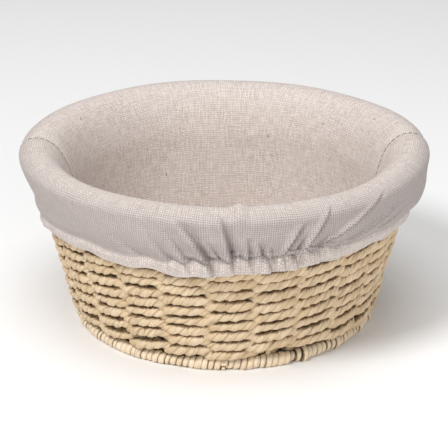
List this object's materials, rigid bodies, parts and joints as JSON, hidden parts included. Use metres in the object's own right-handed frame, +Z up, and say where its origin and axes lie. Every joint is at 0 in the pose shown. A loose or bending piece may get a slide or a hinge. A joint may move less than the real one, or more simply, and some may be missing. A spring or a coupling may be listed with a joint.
{
  "type": "proofing basket",
  "caption": "Round flared bread proofing basket of twined paper cord on a wire frame, with a lift-out linen liner whose elastic cuff folds over the rim.",
  "frame": {"origin": "centre of the basket's footprint on the table", "axes": "+Z up along the basket's axis; the gathered front of the liner faces -Y; the liner's side seams are at +X and -X"},
  "size_m": [0.201, 0.1998, 0.09],
  "materials": {
    "paper_cord": "matt twisted paper",
    "steel_wire": "drawn wire",
    "linen": "plain-woven natural linen",
    "sewing_thread": "spun thread",
    "elastic": "braided elastic"
  },
  "bodies": {
    "basket": {"base_hoop_wire": "steel_wire", "base_hoop_wrap": "paper_cord", "base_rods": "steel_wire", "base_weaver": "paper_cord", "stake_wires": "steel_wire", "stake_wraps": "paper_cord", "wall_weaver_a": "paper_cord", "wall_weaver_b": "paper_cord", "rim_hoop_wire": "steel_wire", "rim_core": "paper_cord", "rim_wrap": "paper_cord"},
    "liner": {"liner_base": "linen", "liner_front": "linen", "liner_back": "linen", "cuff_front": "linen", "cuff_back": "linen", "hem_elastic": "elastic", "hem_thread": "sewing_thread", "base_seam_thread": "sewing_thread", "side_seam_thread_left": "sewing_thread", "side_seam_thread_right": "sewing_thread"}
  },
  "joints": [
    {"name": "liner_lift", "type": "slide", "parent": "basket", "child": "liner", "axis": [0, 0, 1], "range_m": [0, 0.12], "deforming": ["cuff_front", "cuff_back", "hem_elastic", "hem_thread", "side_seam_thread_left", "side_seam_thread_right"]}
  ]
}
